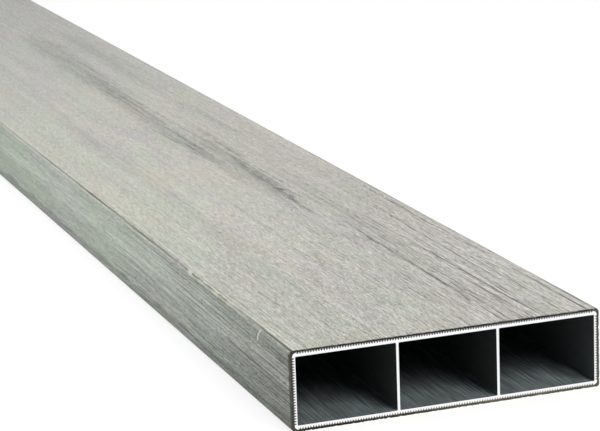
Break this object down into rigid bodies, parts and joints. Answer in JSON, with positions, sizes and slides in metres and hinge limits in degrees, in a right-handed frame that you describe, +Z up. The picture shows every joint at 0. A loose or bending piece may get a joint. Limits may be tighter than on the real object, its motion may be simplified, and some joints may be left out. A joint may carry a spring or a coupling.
{
  "type": "aluminium-cored composite board",
  "caption": "Hollow flat board: webbed aluminium extrusion keyed into a wood-grain composite cap, sawn square at both ends, for decking, benches, screens or cladding.",
  "frame": {"origin": "middle of the lower face", "axes": "X across the board, Y along it with the sawn end of the picture at -Y, Z up through its thickness"},
  "size_m": [0.2, 2.4, 0.05],
  "materials": {
    "aluminium": "extruded, sawn at the ends",
    "composite": "embossed weathered wood grain"
  },
  "bodies": {
    "root": {"aluminium_core": "aluminium", "composite_cap": "composite"}
  },
  "joints": []
}
